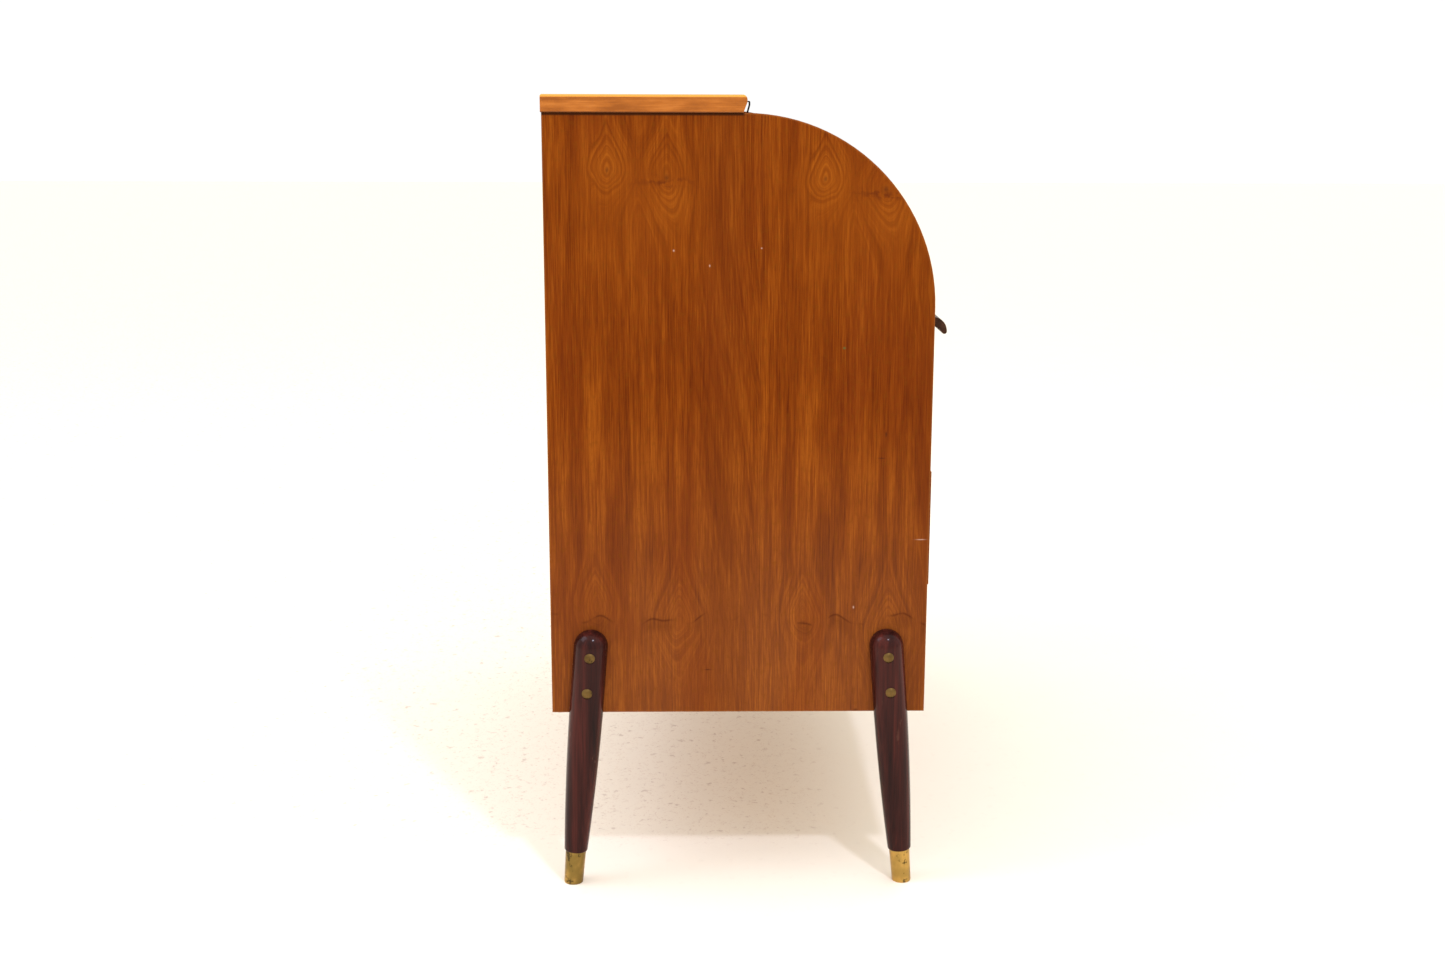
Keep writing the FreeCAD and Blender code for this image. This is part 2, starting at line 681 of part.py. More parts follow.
def compartments():
    deck_back = arc_depth("nest_radius", "nest_floor - nest_board")
    node(board("compartment_deck", ("-half_in", "half_in"), ("y_nest - 4", deck_back),
               ("z_deck - nest_board", "z_deck")), "compartment_deck")
    roof_back = arc_depth("nest_inner", "nest_roof + nest_board")
    node(board("compartment_top", ("-half_in", "half_in"), ("y_nest - 2", roof_back),
               ("axis_z + nest_roof", "axis_z + nest_roof + nest_board")), "compartment_top")
    back = new_body("compartment_back")
    shape = sketch_on(back, "YZ_Plane")
    outline(shape, ring_sector("nest_inner", "nest_radius", "180 deg - asin((nest_roof + 7) / nest_inner)",
                               "180 deg - asin(nest_floor / nest_radius)"))
    pad(back, shape, "2 * half_in", middle=True)
    node(back, "compartment_back")
    starts = [f"-half_in + {index} * (bay_wide + nest_board)" for index in range(5)]
    uprights = [nest_upright(f"compartment_upright_{index}", start) for index, start in enumerate(starts)]
    node(group("compartment_ends", [uprights[0], uprights[4]]), "compartment_ends")
    for index in (1, 2, 3):
        node(uprights[index], f"compartment_divider_{index}")
    shelf_back = arc_depth("nest_inner", "nest_shelf + shelf_thick")
    shelves = []
    for index, start in enumerate(starts[:4]):
        bay = (f"{start} + nest_board", f"{start} + nest_board + bay_wide")
        shelves.append(board(f"compartment_shelf_{index}", bay, ("y_nest + 2", f"{shelf_back} - 0.5"),
                             ("axis_z + nest_shelf", "axis_z + nest_shelf + shelf_thick")))
    node(group("compartment_shelves", shelves), "compartment_shelves")
    for index, start in enumerate(starts[:4], 1):
        small_drawer(f"small_drawer_{index}", f"{start} + nest_board")


def small_drawer(name, bay_start):
    low_x = f"{bay_start} + tray_gap"
    high_x = f"{bay_start} + bay_wide - tray_gap"
    front_y = "y_nest + 2"
    tray_y = f"{front_y} + tray_front"
    base = "z_deck + 1"
    front = new_body(name + "_front")
    body_box(front, (low_x, high_x), (front_y, tray_y), (base, "axis_z + nest_shelf - 1"))
    face = value(front_y) + 0.01
    round_edges(front, "0.8", lambda point: point.y < face)
    node(front, name + "_front")
    tray = new_body(name + "_tray")
    tray_top = "axis_z + nest_shelf - 6"
    body_box(tray, (low_x, high_x), (tray_y, f"{tray_y} + tray_long"), (base, tray_top))
    body_box(tray, (f"{low_x} + tray_wall", f"{high_x} - tray_wall"),
             (f"{tray_y} + tray_wall", f"{tray_y} + tray_long - tray_wall"),
             (f"{base} + tray_wall", f"{tray_top} + 1"), "Subtractive")
    node(tray, name + "_tray")
    knob = turned_knob(name + "_knob", "6", "14")
    knob.Placement = Placement(Vector(), Rotation(Vector(1, 0, 0), 90))
    bind_place(knob, f"{bay_start} + bay_wide / 2", front_y, f"({base} + axis_z + nest_shelf - 1) / 2")
    node(knob, name + "_knob")


def turned_knob(name, radius, long):
    """A round knob along +Z with its foot at z = 0: a flared foot, a waist and a domed head."""
    body = new_body(name)
    shape = sketch_on(body, "XZ_Plane")
    r = f"({radius})"
    far = f"({long})"
    outline(shape, [
        ("0", "0"),
        (f"0.75 * {r}", "0"),
        (f"0.75 * {r}", f"0.08 * {far}", f"-0.42 * {far}"),
        (f"0.5 * {r}", f"0.45 * {far}"),
        (r, f"0.66 * {far}", f"0.16 * {far}"),
        (r, f"0.84 * {far}", f"({r}^2 + (0.16 * {far})^2) / (0.32 * {far})"),
        ("0", far),
    ])
    revolve(body, shape)
    return body


compartments()

# ---- Lid -----------------------------------------------------------------------------------


def lip_outline(sketch, face, reach, low):
    """A drooping lip in section: its root stands on a face (Y) and it reaches out by reach."""
    def out(inward):
        return f"{face} - {reach} + {inward}"
    outline(sketch, [
        (face, f"{low} + 9"),
        (face, f"{low} + 21.6"),
        (out(15.7), f"{low} + 20.9", "17.2"),
        (out(0.1), f"{low} + 4.2", "3.2"),
        (out(5.5), f"{low} + 1.2", "-13.5"),
    ])


def lid():
    shell = new_body("roll_shell")
    shape = sketch_on(shell, "YZ_Plane")
    outline(shape, ring_sector("lid_radius - lid_thick", "lid_radius", "0", "lid_sweep"))
    pad(shell, shape, "2 * (half_in - lid_gap)", middle=True)
    tongue = sketch_on(shell, "YZ_Plane")
    outline(tongue, ring_sector("tongue_radius - tongue_thick / 2", "tongue_radius + tongue_thick / 2",
                                "2", "lid_sweep - 2"))
    pad(shell, tongue, "2 * (half_in - lid_gap + tongue_long)", middle=True)
    node(shell, "roll_shell")

    rail = new_body("roll_rail")
    body_box(rail, ("lid_gap - half_in", "half_in - lid_gap"), ("rail_face", "rail_face + rail_thick"),
             ("axis_z - rail_height", "axis_z"))
    holes = sketch_on(rail, "XZ_Plane", "-rail_face")
    circles(holes, "lid_screw_shank + fit", [(spot, "axis_z - lid_screw_drop") for spot in LID_SCREWS])
    pocket(rail, holes, "rail_thick + 1")
    node(rail, "roll_rail")

    handle = new_body("roll_handle")
    shape = sketch_on(handle, "YZ_Plane")
    lip_outline(shape, "rail_face", "lip_reach", "axis_z - lip_drop")
    pad(handle, shape, "2 * (half_in - lid_gap - 1)", middle=True)
    holes = sketch_on(handle, "XZ_Plane", "-rail_face")
    circles(holes, "lid_screw_shank + fit", [(spot, "axis_z - lid_screw_drop") for spot in LID_SCREWS])
    pocket(handle, holes, "lid_screw_in + hole_end", backwards=True)
    node(handle, "roll_handle")

    screw = turned_screw("lid_screw", "lid_screw_head", "lid_screw_shank", "rail_thick + lid_screw_in",
                         "lid_screw_dome")
    turn = Rotation(Vector(1, 0, 0), 90)
    copies = [copy_of(f"lid_screw_{index}", screw, spot, "rail_face + rail_thick",
                      "axis_z - lid_screw_drop", turn)
              for index, spot in enumerate(LID_SCREWS)]
    node(group("roll_handle_screws", copies), "roll_handle_screws")


lid()

# ---- Writing leaf --------------------------------------------------------------------------


def leaf():
    panel_front = "y_leaf + leaf_edge_deep"
    panel = new_body("leaf_panel")
    body_box(panel, ("lid_gap - half_in", "half_in - lid_gap"), (panel_front, "y_leaf_rear"),
             ("z_leaf - leaf_thick", "z_leaf"))
    body_box(panel, ("lid_gap - half_in - leaf_tongue_out", "half_in - lid_gap + leaf_tongue_out"),
             ("y_leaf_rear - leaf_tongue_long", "y_leaf_rear"),
             ("z_leaf - leaf_tongue_low", "z_leaf - leaf_tongue_high"))
    node(panel, "leaf_panel")

    edge = new_body("leaf_edge")
    body_box(edge, ("lid_gap - half_in", "half_in - lid_gap"), ("y_leaf", panel_front),
             ("z_leaf - leaf_thick - leaf_edge_drop", "z_leaf"))
    face = value("y_leaf") + 0.01
    round_edges(edge, "edge_round", lambda point: point.y < face)
    node(edge, "leaf_edge")

    knobs = []
    for side, hand in SIDES:
        knob = turned_knob("leaf_knob_" + side, "7", "16")
        knob.Placement = Placement(Vector(), Rotation(Vector(1, 0, 0), 90))
        bind_place(knob, f"{hand} * half_in * 0.58", "y_leaf", "z_leaf - (leaf_thick + leaf_edge_drop) / 2")
        knobs.append(knob)
    node(group("leaf_knobs", knobs), "leaf_knobs")


leaf()

# ---- Drawers -------------------------------------------------------------------------------


def drawer(number, ajar):
    """One large drawer: an inset front, grooved sides on runners, a back, a ply bottom and pulls."""
    name = f"drawer_{number}"
    base = f"z_floor + {number - 1} * drawer_pitch"
    face = f"y_front - ({ajar})"
    inner_face = f"{face} + front_thick"
    half = "drawer_half"
    side_low = f"{base} + drawer_lift"
    floor_low = f"{side_low} + ply_lift"
    grooves = f"{half} - drawer_side_thick + ply_groove"

    front = new_body(name + "_front")
    body_box(front, (f"-{half}", half), (face, inner_face),
             (f"{base} + drawer_gap", f"{base} + drawer_pitch - drawer_gap"))
    limit = value(face) + 0.01
    round_edges(front, "edge_round", lambda point: point.y < limit)
    body_box(front, (f"-({grooves})", grooves),
             (f"{inner_face} - 5", f"{inner_face} + 1"),
             (floor_low, f"{floor_low} + drawer_ply + 0.1"), "Subtractive")
    node(front, name + "_front")

    rear = f"{inner_face} + drawer_long"
    boards = []
    for side, hand in SIDES:
        body = new_body(f"{name}_side_{side}")
        inner = f"{half} - drawer_side_thick"
        body_box(body, on_side(hand, inner, half), (inner_face, rear),
                 (side_low, f"{side_low} + drawer_side_high"))
        middle = f"{side_low} + drawer_side_high / 2"
        body_box(body, on_side(hand, f"{half} - runner_groove", f"{half} + 1"),
                 (f"{inner_face} + runner_stop", f"{rear} + 1"),
                 (f"{middle} - runner_high / 2 - 0.5", f"{middle} + runner_high / 2 + 0.5"), "Subtractive")
        body_box(body, on_side(hand, f"{inner} - 1", grooves), (f"{inner_face} - 1", f"{rear} + 1"),
                 (floor_low, f"{floor_low} + drawer_ply + 0.1"), "Subtractive")
        boards.append(body)
    node(group(name + "_sides", boards), name + "_sides")

    node(board(name + "_back", (f"drawer_side_thick - {half}", f"{half} - drawer_side_thick"),
               (f"{rear} - drawer_side_thick", rear),
               (f"{floor_low} + drawer_ply + 0.1", f"{side_low} + drawer_side_high - 8")), name + "_back")
    node(board(name + "_bottom", (f"0.3 - ({grooves})", f"{grooves} - 0.3"),
               (f"{inner_face} - 4.7", rear), (floor_low, f"{floor_low} + drawer_ply")), name + "_bottom")

    pulls = []
    for side, hand in SIDES:
        body = new_body(f"{name}_pull_{side}")
        shape = sketch_on(body, "YZ_Plane", f"{hand} * half_in / 2")
        lip_outline(shape, face, "pull_reach", f"{base} + drawer_pitch - pull_drop")
        pad(body, shape, "pull_long", middle=True)
        pulls.append(body)
    node(group(name + "_pulls", pulls), name + "_pulls")


def runners():
    """The strips that the drawers slide on, three on each side, and one under each end of the leaf."""
    strips = []
    for side, hand in SIDES:
        for number in DRAWERS:
            middle = f"z_floor + {number - 1} * drawer_pitch + drawer_lift + drawer_side_high / 2"
            strips.append(board(f"runner_{side}_{number}", on_side(hand, "half_in - runner_thick", "half_in"),
                                ("y_front + 40", "y_panel - 5"),
                                (f"{middle} - runner_high / 2", f"{middle} + runner_high / 2")))
        underside = "z_leaf - leaf_thick - 0.5"
        strips.append(board("leaf_bearer_" + side, on_side(hand, "half_in - bearer_thick", "half_in"),
                            ("y_front + 20", "y_leaf_rear + leaf_rear_room"),
                            (f"{underside} - bearer_high", underside)))
    node(group("runners", strips), "runners")


runners()
for drawer_number, opened in DRAWERS.items():
    drawer(drawer_number, opened)

# ---- Checks and files ----------------------------------------------------------------------

doc.recompute()
for item in doc.Objects:
    if "Invalid" in item.State or "Error" in item.State:
        raise RuntimeError(f"{item.Name} failed: {item.State}")
for item in NODES:
    if item.Shape.isNull() or not item.Shape.isValid():
        raise RuntimeError(item.Label + " has no valid shape")

os.makedirs("parts", exist_ok=True)
for item in NODES:
    item.Shape.exportStep(f"parts/{item.Label}.step")
print(len(NODES), "sub-parts")
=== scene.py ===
import json
import math

import bpy
from mathutils import Matrix, Vector

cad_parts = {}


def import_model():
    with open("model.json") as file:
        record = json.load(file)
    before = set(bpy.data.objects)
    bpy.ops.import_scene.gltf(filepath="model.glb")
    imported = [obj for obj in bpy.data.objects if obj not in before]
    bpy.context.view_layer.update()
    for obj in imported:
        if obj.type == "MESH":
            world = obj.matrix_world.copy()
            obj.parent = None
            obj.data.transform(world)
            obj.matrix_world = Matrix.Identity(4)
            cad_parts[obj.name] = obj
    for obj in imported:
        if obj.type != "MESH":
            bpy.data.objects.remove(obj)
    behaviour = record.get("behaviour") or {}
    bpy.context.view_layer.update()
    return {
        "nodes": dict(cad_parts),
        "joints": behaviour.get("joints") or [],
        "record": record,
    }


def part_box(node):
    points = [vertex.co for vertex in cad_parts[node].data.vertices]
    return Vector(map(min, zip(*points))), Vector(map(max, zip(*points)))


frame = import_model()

# ---- Places taken from the frame, in metres -------------------------------------------------

side_low, side_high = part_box("side_left")
back_y, front_y = side_high.y, side_low.y
side_bottom, side_top = side_low.z, side_high.z
side_face = side_low.x
side_depth = back_y - front_y
side_tall = side_top - side_bottom
top_low, top_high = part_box("top_board")
roll_turn = frame["joints"][0]
axis_y, axis_z = roll_turn["pos_m"][1], roll_turn["pos_m"][2]
lid_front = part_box("roll_shell")[0].y
lid_radius = axis_y - lid_front
corner_radius = side_top - axis_z


# ---- Node arithmetic ------------------------------------------------------------------------

RELIEF = 0.6


class Field:
    """A number that varies over a surface: a node's output, with arithmetic that adds nodes."""

    def __init__(self, paint, socket):
        self.paint = paint
        self.socket = socket

    def __add__(self, other):
        return self.paint.math("ADD", self, other)

    def __sub__(self, other):
        return self.paint.math("SUBTRACT", self, other)

    def __rsub__(self, other):
        return self.paint.math("SUBTRACT", other, self)

    def __mul__(self, other):
        return self.paint.math("MULTIPLY", self, other)

    def __truediv__(self, other):
        return self.paint.math("DIVIDE", self, other)

    def __pow__(self, other):
        return self.paint.math("POWER", self, other)

    def __mod__(self, other):
        return self.paint.math("FLOORED_MODULO", self, other)


class Paint:
    """Builds one procedural material. x, y and z are the piece's own coordinates, in metres."""

    def __init__(self, name):
        self.material = bpy.data.materials.new(name)
        self.material.use_nodes = True
        self.tree = self.material.node_tree
        self.shader = self.tree.nodes["Principled BSDF"]
        place = self.tree.nodes.new("ShaderNodeTexCoord")
        self.x, self.y, self.z = self.split(place.outputs["Object"])
        self.facing = self.split(place.outputs["Normal"])

    def node(self, kind, **settings):
        made = self.tree.nodes.new(kind)
        for key, setting in settings.items():
            setattr(made, key, setting)
        return made

    def feed(self, socket, value):
        if isinstance(value, Field):
            self.tree.links.new(value.socket, socket)
        elif value is not None:
            socket.default_value = value

    def split(self, socket):
        parts = self.node("ShaderNodeSeparateXYZ")
        self.tree.links.new(socket, parts.inputs[0])
        return [Field(self, parts.outputs[axis]) for axis in "XYZ"]

    def math(self, kind, *values, clamp=False):
        made = self.node("ShaderNodeMath", operation=kind, use_clamp=clamp)
        for socket, value in zip(made.inputs, values):
            self.feed(socket, value)
        return Field(self, made.outputs[0])

    def vector(self, x, y, z):
        made = self.node("ShaderNodeCombineXYZ")
        for socket, value in zip(made.inputs, (x, y, z)):
            self.feed(socket, value)
        return Field(self, made.outputs[0])

    def noise(self, x, y, z, detail=2.0, rough=0.5, bend=0.0):
        """Noise about 0.5, one cell to a unit of each coordinate."""
        made = self.node("ShaderNodeTexNoise")
        self.feed(made.inputs["Vector"], self.vector(x, y, z))
        made.inputs["Scale"].default_value = 1.0
        made.inputs["Detail"].default_value = detail
        made.inputs["Roughness"].default_value = rough
        made.inputs["Distortion"].default_value = bend
        return Field(self, made.outputs["Fac"])

    def step(self, value, low, high):
        """0 below low, 1 above high, smooth between; low may be the larger."""
        made = self.node("ShaderNodeMapRange", interpolation_type="SMOOTHSTEP")
        self.feed(made.inputs["Value"], value)
        falls = low > high
        made.inputs["From Min"].default_value = min(low, high)
        made.inputs["From Max"].default_value = max(low, high)
        made.inputs["To Min"].default_value = float(falls)
        made.inputs["To Max"].default_value = float(not falls)
        return Field(self, made.outputs["Result"])

    def bell(self, value, wide):
        """1 where value is 0, falling to nothing at a few widths."""
        return self.math("EXPONENT", (value / wide) ** 2 * -1.0)

    def ramp(self, value, *stops):
        """Colours at stops (position, colour)."""
        made = self.node("ShaderNodeValToRGB")
        points = made.color_ramp.elements
        while len(points) < len(stops):
            points.new(0.5)
        for point, (position, colour) in zip(points, stops):
            point.position = position
            point.color = (*colour, 1.0)
        self.feed(made.inputs["Fac"], value)
        return Field(self, made.outputs["Color"])

    def blend(self, share, first, second, kind="MIX"):
        made = self.node("ShaderNodeMix", data_type="RGBA", blend_type=kind)
        self.feed(made.inputs["Factor"], share)
        for socket, colour in ((made.inputs["A"], first), (made.inputs["B"], second)):
            self.feed(socket, colour if isinstance(colour, Field) else (*colour, 1.0))
        return Field(self, made.outputs["Result"])

    def finish(self, colour, rough, height=None, depth=0.0002, **sockets):
        """Feeds the shader; height is a relief depth metres deep, and sockets are set as given."""
        self.feed(self.shader.inputs["Base Color"], colour)
        self.feed(self.shader.inputs["Roughness"], rough)
        for key, value in sockets.items():
            self.shader.inputs[key.replace("_", " ")].default_value = value
        if height is not None:
            bump = self.node("ShaderNodeBump")
            bump.inputs["Strength"].default_value = RELIEF
            bump.inputs["Distance"].default_value = depth
            self.feed(bump.inputs["Height"], height)
            self.tree.links.new(bump.outputs["Normal"], self.shader.inputs["Normal"])
        return self.material


# ---- Wood -----------------------------------------------------------------------------------

TEAK = ((0.097, 0.0142, 0.0002), (0.183, 0.0352, 0.0008), (0.300, 0.0755, 0.0040))
TEAK_EDGING = ((0.275, 0.074, 0.005), (0.385, 0.112, 0.011), (0.48, 0.155, 0.022))
TEAK_INSIDE = ((0.17, 0.040, 0.006), (0.26, 0.070, 0.012), (0.36, 0.115, 0.024))
BEECH = ((0.40, 0.215, 0.095), (0.52, 0.300, 0.140), (0.62, 0.385, 0.195))
PLY = ((0.26, 0.130, 0.052), (0.36, 0.190, 0.080), (0.46, 0.255, 0.115))
LACQUER = ((0.012, 0.0035, 0.0032), (0.034, 0.0075, 0.0060), (0.080, 0.0150, 0.0110))
OILED = ((0.018, 0.0065, 0.0035), (0.040, 0.0160, 0.0085), (0.085, 0.0360, 0.0190))
OILED_PORE = (0.015, 0.006, 0.004)
SCUFF = (0.12, 0.045, 0.028)
PAINTED_ARRIS_HIGHLIGHT = (0.82, 0.350, 0.055)
PAINTED_LOWER_EDGE_SHADE = (0.110, 0.030, 0.006)

# Centres of eyes as (across, along), and how often the figure repeats across the grain, in metres.
EYE_BLEND = 0.010
TOP_EYES = [(0.08, -0.25), (0.17, 0.21)]
LID_EYES = [(0.07, -0.20), (0.155, 0.16)]
LID_PITCH = 0.21
FRONT_EYES = [(0.045, -0.22), (0.110, 0.24)]
FRONT_PITCH = 0.147
LEAF_EYES = [(0.09, 0.05)]
LEAF_PITCH = 0.20


def grain(paint, across, along, through):
    """Fine lines and pores that run along the grain, as numbers about 0 and from 0 to 1."""
    broad = paint.noise(across * 330.0, along * 5.5, through * 330.0, detail=2.0, rough=0.75)
    fine = paint.noise(across * 950.0, along * 22.0, through * 950.0, detail=1.5, rough=0.7)
    lines = broad * 0.38 + fine * 0.62 - 0.5
    dashes = paint.noise(across * 1400.0, along * 45.0, through * 1400.0, detail=1.0)
    return lines, paint.step(dashes, 0.58, 0.70)


def eye(paint, across, along, centre, height, reach, above, below, lean=0.0):
    """Growth rings cut where they bulge: pointed arches above the eye, rounded bowls below it."""
    rise = along - height
    up = paint.math("MAXIMUM", rise, 0.0)
    down = paint.math("MAXIMUM", rise * -1.0, 0.0)
    lift = 1.0 - paint.math("EXPONENT", ((up / above) ** 1.8 + (down / below) ** 1.7) * -1.0)
    sideways = across - centre - down * lean
    round_off = paint.step(down, 0.0, 0.03) * 0.008 + 0.0030
    distance = paint.math("SQRT", sideways * sideways + round_off * round_off)
    return distance + lift * reach * paint.bell(distance, reach * 1.6)


def spot(paint, across, along, centre, height, wide, tall):
    """1 at a small upright oval, 0 outside it."""
    away = ((across - centre) / wide) ** 2.0 + ((along - height) / tall) ** 2.0
    return paint.math("EXPONENT", away * -1.0)


def merged(paint, fields):
    """One ring pattern from several eyes, smooth where they meet."""
    rings = fields[0]
    for field in fields[1:]:
        rings = paint.math("SMOOTH_MIN", rings, field, EYE_BLEND)
    return rings


def teak_colour(paint, rings, along, tones, lines, pores, seed=0.0, near=0.0):
    """Teak's colour: growth lines, soft bands, flames, fine grain and pores; near is 1 at an eye."""
    contour = paint.noise(rings * 430.0, along * 4.5, seed, detail=3.0, rough=0.62) - 0.5
    bands = paint.noise(rings * 75.0, along * 3.6, seed + 7.0, detail=2.0) - 0.5
    flames = paint.noise(rings * 130.0, along * 7.5, seed + 3.0, detail=2.0) - 0.5
    far = 1.0 - near
    tone = contour * (near * 1.5 + 0.66) + bands * far * 0.60
    tone = tone + flames * far * 0.62 + lines * (1.40 - near * 0.7) + near * 0.14 + 0.5
    dark, middle, light = tones
    colour = paint.ramp(tone, (0.12, dark), (0.5, middle), (0.88, light))
    return paint.blend(pores * 0.38, colour, dark), tone


# The sides' veneer: two leaves side by side, the second a step higher. Eyes are (across, along).
LEAF_WIDE = 0.2600
LEAF_STEP = 0.0150
EYE_A = (0.0745, 0.6780)
EYE_B = (0.1455, 0.6690)
LOW_EYE_A = (0.0560, 0.1380)
LOW_EYE_B = (0.1600, 0.1160)
PINCH_AT = 0.6620
WAVE_AT = 0.123
QUARTER_AT = 0.215

PAINTED_LOW_SHEEN = (0.020, 0.0170, 0.0095)
RED_PATCH = (0.150, 0.0235, 0.0020)
OLIVE_PATCH = (0.150, 0.0420, 0.0012)
QUARTER_TONE = (0.125, 0.0235, 0.0018)
EYE_GLOW = (0.330, 0.0880, 0.0060)
EYE_HALO = (0.255, 0.0600, 0.0030)
KNOT = (0.070, 0.015, 0.003)
SMUDGE = (0.085, 0.013, 0.002)
STREAK = (0.080, 0.016, 0.003)
WORN_RIM = (0.30, 0.105, 0.022)
PAINTED_BOARD_SHADOW = (0.040, 0.010, 0.002)

# Small marks of use: distance from the back, height, half width, half height (metres) and colour.
PALE = (0.62, 0.42, 0.33)
DARK = (0.050, 0.012, 0.004)
GREEN = (0.060, 0.130, 0.035)
MARKS = [
    (0.155, 0.580, 0.0009, 0.0010, PALE),
    (0.198, 0.562, 0.0007, 0.0012, PALE),
    (0.260, 0.583, 0.0008, 0.0007, PALE),
    (0.378, 0.137, 0.0008, 0.0014, PALE),
    (0.460, 0.224, 0.0050, 0.0005, PALE),
    (0.361, 0.463, 0.0015, 0.0013, GREEN),
    (0.414, 0.357, 0.0012, 0.0032, DARK),
    (0.409, 0.327, 0.0042, 0.0007, DARK),
    (0.383, 0.002, 0.0030, 0.0013, DARK),
    (0.196, 0.056, 0.0040, 0.0008, DARK),
]


def side_teak():
    """The sides: two slip-matched leaves of upright teak, each with the same four eyes."""
    paint = Paint("side_teak")
    behind = back_y - paint.y
    height = paint.z - side_bottom
    leaf = paint.math("FLOOR", behind / LEAF_WIDE)
    sway = paint.noise(behind * 6.0, height * 4.0, 2.0) - 0.5
    ripple = paint.noise(behind * 40.0, height * 24.0, 5.0, detail=3.0) - 0.5
    lift = paint.noise(behind * 34.0, height * 5.0, 1.0) - 0.5
    across = behind % LEAF_WIDE + sway * 0.016 + ripple * 0.0045
    along = height + leaf * LEAF_STEP + lift * 0.022
    rings = merged(paint, [
        eye(paint, across, along, *EYE_A, 0.022, 0.036, 0.030, 0.02),
        eye(paint, across, along, *EYE_B, 0.026, 0.042, 0.055, 0.16),
        eye(paint, across, along, *LOW_EYE_A, 0.020, 0.038, 0.045, -0.05),
        eye(paint, across, along, *LOW_EYE_B, 0.026, 0.050, 0.052, 0.0),
    ])
    near = spot(paint, across, along, EYE_A[0], EYE_A[1] + 0.002, 0.021, 0.031)
    near = near + spot(paint, across, along, EYE_B[0] + 0.008, EYE_B[1] - 0.035, 0.022, 0.030)
    near = near + spot(paint, across, along, *LOW_EYE_A, 0.018, 0.026) * 0.45
    near = near + spot(paint, across, along, *LOW_EYE_B, 0.024, 0.036) * 0.45
    lines, pores = grain(paint, paint.y, paint.z, paint.x)
    colour, tone = teak_colour(paint, rings, along, TEAK, lines, pores, near=near)
    colour = side_patches(paint, colour, behind, height)
    colour = side_eyes(paint, colour, across, along, near)
    colour = side_flaws(paint, colour, behind, height, across, along, leaf, ripple)
    colour = side_edges(paint, colour, behind, height)
    rough = tone * 0.10 + pores * 0.12 + 0.34
    return paint.finish(colour, rough, lines * 0.5 - pores * 0.7, Specular_IOR_Level=0.045)


def side_patches(paint, colour, behind, height):
    """Broad changes of colour: a painted floor reflection that makes it paler low down, red and olive
    patches, a darker band in each leaf.
    """
    # Painted reflection: the lower part is lightened and greyed, as if its sheen reflected the pale
    # floor.
    colour = paint.blend(paint.step(height, 0.42, 0.06), colour, PAINTED_LOW_SHEEN, "ADD")
    red = paint.noise(behind * 14.0, height * 3.0, 21.0, detail=3.0)
    colour = paint.blend(paint.step(red, 0.45, 0.70) * 0.35, colour, RED_PATCH)
    olive = paint.noise(behind * 210.0, height * 120.0, 31.0, detail=3.0)
    colour = paint.blend(paint.step(olive, 0.50, 0.72) * 0.30, colour, OLIVE_PATCH)
    quarter = paint.bell(behind % LEAF_WIDE - QUARTER_AT, 0.030)
    return paint.blend(quarter * 0.30, colour, QUARTER_TONE)


def side_eyes(paint, colour, across, along, near):
    """A glow on the eyes, a wider one round the upper pair, and their two knots."""
    colour = paint.blend(near * 0.22, colour, EYE_GLOW)
    halo = spot(paint, across, along, 0.112, 0.645, 0.075, 0.075)
    colour = paint.blend(halo * 0.35, colour, EYE_HALO)
    knots = spot(paint, across, along, *EYE_A, 0.0022, 0.0036) * 0.55
    knots = knots + spot(paint, across, along, *EYE_B, 0.0036, 0.0040) * 0.60
    return paint.blend(knots, colour, KNOT)


def side_flaws(paint, colour, behind, height, across, along, leaf, ripple):
    """A dark pinch at the upper eyes, a broken wavy streak low down, the seam and small marks."""
    pinch = along - PINCH_AT - ripple * 0.012
    smudge = paint.bell(pinch, 0.0050) * paint.bell(across - 0.146, 0.030)
    smudge = smudge * paint.step(paint.noise(behind * 130.0, height * 160.0, 12.0), 0.42, 0.60)
    colour = paint.blend(smudge * 0.65, colour, SMUDGE)
    wave = height - WAVE_AT - (paint.noise(behind * 19.0, leaf, 3.3, detail=1.0) - 0.5) * 0.075
    broken = paint.step(paint.noise(behind * 26.0, 4.0, leaf), 0.46, 0.58)
    streak = paint.bell(wave, 0.0015) * broken * 0.60
    shade = paint.bell(wave + 0.008, 0.010) * broken * 0.30
    colour = paint.blend(streak + shade, colour, STREAK)
    seam = paint.bell(behind - LEAF_WIDE, 0.0006)
    colour = paint.blend(seam * 0.30, colour, STREAK)
    for place, level, wide, tall, tint in MARKS:
        mark = spot(paint, behind, height, place, level, wide, tall)
        colour = paint.blend(mark * 0.75, colour, tint)
    return colour


def side_edges(paint, colour, behind, height):
    """A paler rim from wear all round, and a painted shadow: a dark line just under where the top board
    sits.
    """
    colour = paint.blend(rim_shade(paint, behind, height) * 0.45, colour, WORN_RIM)
    # Painted shadow: the side is darkened in a thin line just below the top board's overhang.
    board_shadow = paint.step(paint.z, side_top - 0.0042, side_top - 0.0020)
    board_shadow = board_shadow * paint.step(paint.y, top_low.y, top_low.y + 0.006)
    return paint.blend(board_shadow * 0.92, colour, PAINTED_BOARD_SHADOW)


def rim_shade(paint, behind, height):
    """1 at the outline of a side panel, 0 a few millimetres in."""
    reach = paint.math("SQRT", (paint.y - axis_y) ** 2.0 + (paint.z - axis_z) ** 2.0)
    before_axis = paint.step(paint.y - axis_y, 0.0005, -0.0005)
    above_axis = paint.step(paint.z - axis_z, -0.0005, 0.0005)
    round_edge = reach - corner_radius + (1.0 - before_axis * above_axis) * -1.0
    sides = paint.math("MAXIMUM", behind * -1.0, behind - side_depth)
    ends = paint.math("MAXIMUM", height * -1.0, height - side_tall)
    outside = paint.math("MAXIMUM", paint.math("MAXIMUM", sides, ends), round_edge)
    return paint.step(outside, -0.0026, -0.0004)


